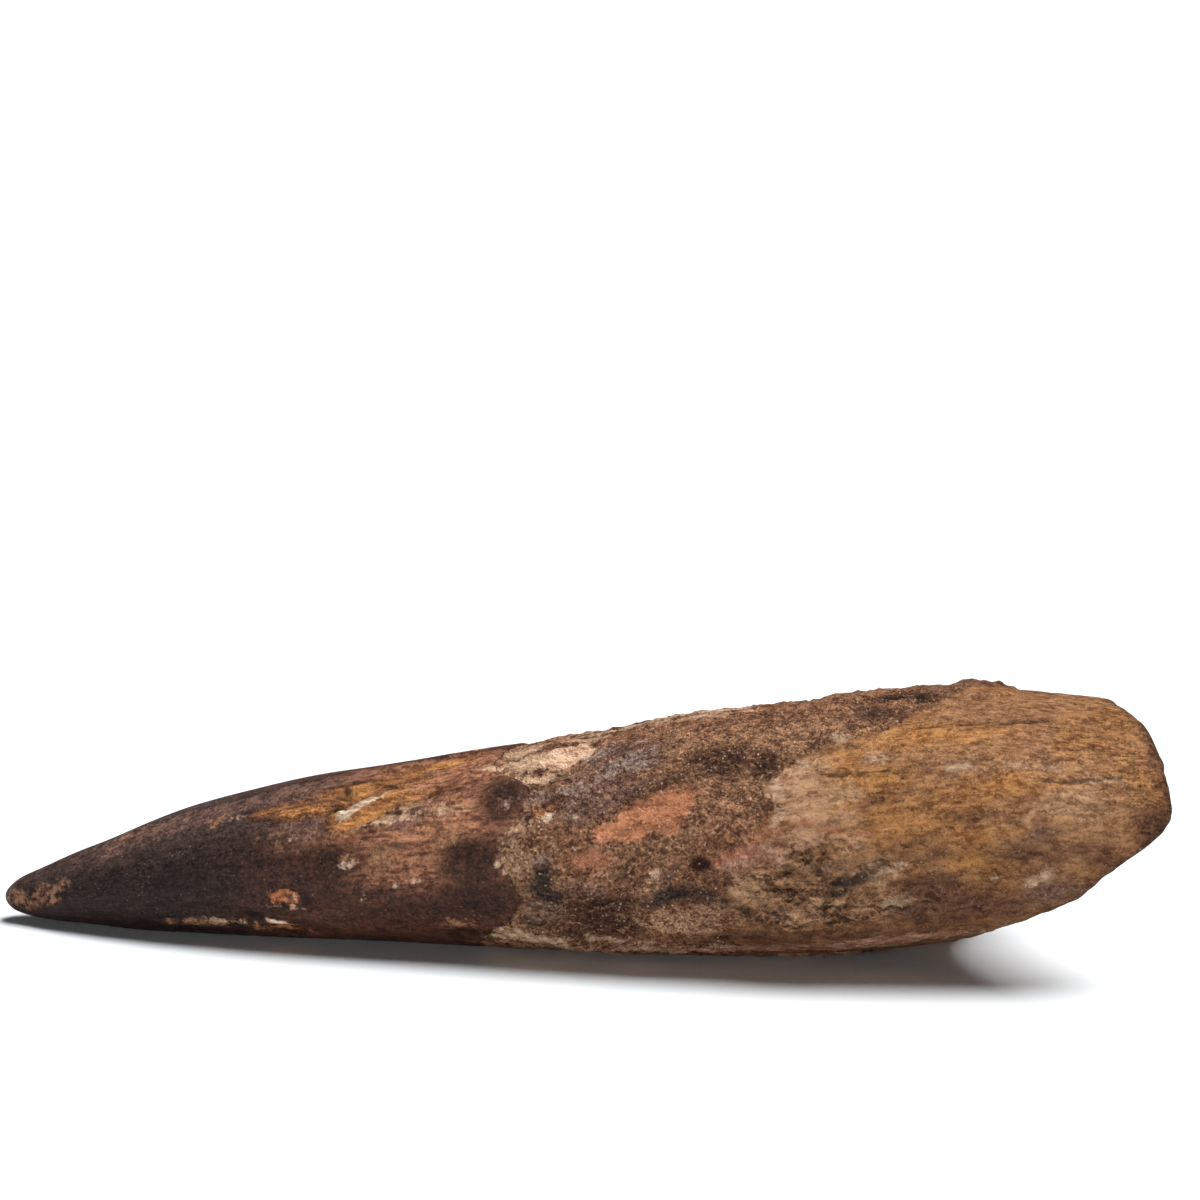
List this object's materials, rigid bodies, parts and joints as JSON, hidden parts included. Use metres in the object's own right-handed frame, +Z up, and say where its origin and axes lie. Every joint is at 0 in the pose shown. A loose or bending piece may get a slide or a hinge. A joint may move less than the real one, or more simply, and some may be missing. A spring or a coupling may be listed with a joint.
{
  "type": "fossil tooth",
  "caption": "Long conical fossil dinosaur tooth lying on its side: dark worn enamel crown with a flaked hollow, crust of sandy rock round its middle, ribbed golden root with a slanting break",
  "frame": {"origin": "middle of the tooth's bounding box, on the surface that it rests on", "axes": "X runs along the tooth from its tip at -X to its broken root at +X; Y runs across it, with the side that the picture shows at -Y; Z is up"},
  "size_m": [0.12, 0.028, 0.0283],
  "materials": {
    "fossil": "matt mineral, brown"
  },
  "bodies": {
    "root": {"tooth": "fossil"}
  },
  "joints": []
}
